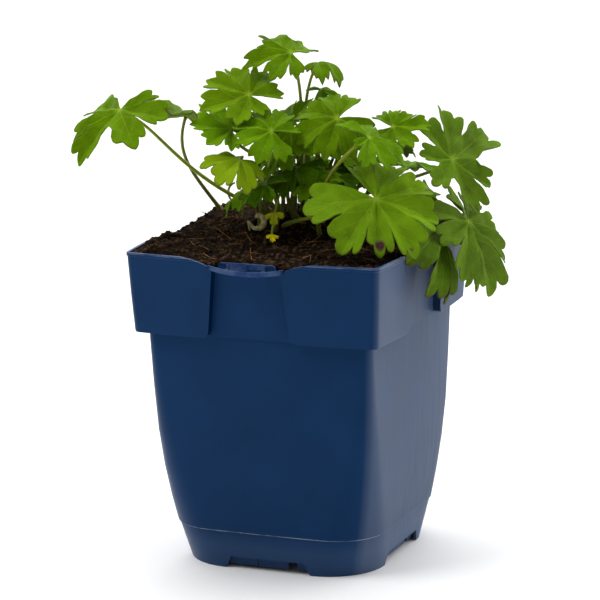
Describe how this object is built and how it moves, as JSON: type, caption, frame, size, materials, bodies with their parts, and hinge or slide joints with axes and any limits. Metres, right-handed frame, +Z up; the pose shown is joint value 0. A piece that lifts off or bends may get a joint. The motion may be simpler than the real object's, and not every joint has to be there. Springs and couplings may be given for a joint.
{
  "type": "potted cranesbill",
  "caption": "Young cranesbill with lobed palmate leaves on slender stalks, growing in compost in a square plastic nursery pot with a collar and label pockets.",
  "frame": {"origin": "centre of the flat hub under the pot's floor, level with the foot the pot stands on", "axes": "+Z up; the pot's front side faces -Y"},
  "size_m": [0.1742, 0.1188, 0.2152],
  "materials": {
    "blue_plastic": "satin moulded polypropylene, dark blue",
    "compost": null,
    "leaf": null
  },
  "bodies": {
    "root": {"pot": "blue_plastic", "compost": "compost", "leaf_01": "leaf", "leaf_02": "leaf", "leaf_03": "leaf", "leaf_04": "leaf", "leaf_05": "leaf", "leaf_06": "leaf", "leaf_07": "leaf", "leaf_08": "leaf", "leaf_09": "leaf", "leaf_10": "leaf", "leaf_11": "leaf", "leaf_12": "leaf", "leaf_13": "leaf", "leaf_14": "leaf", "leaf_15": "leaf", "leaf_16": "leaf", "leaf_17": "leaf", "leaf_18": "leaf", "leaf_19": "leaf", "leaf_20": "leaf", "leaf_21": "leaf", "leaf_22": "leaf", "leaf_23": "leaf", "leaf_24": "leaf", "leaf_25": "leaf", "leaf_26": "leaf", "leaf_27": "leaf", "leaf_28": "leaf", "leaf_29": "leaf", "shoot_01": "leaf", "shoot_02": "leaf"}
  },
  "joints": []
}
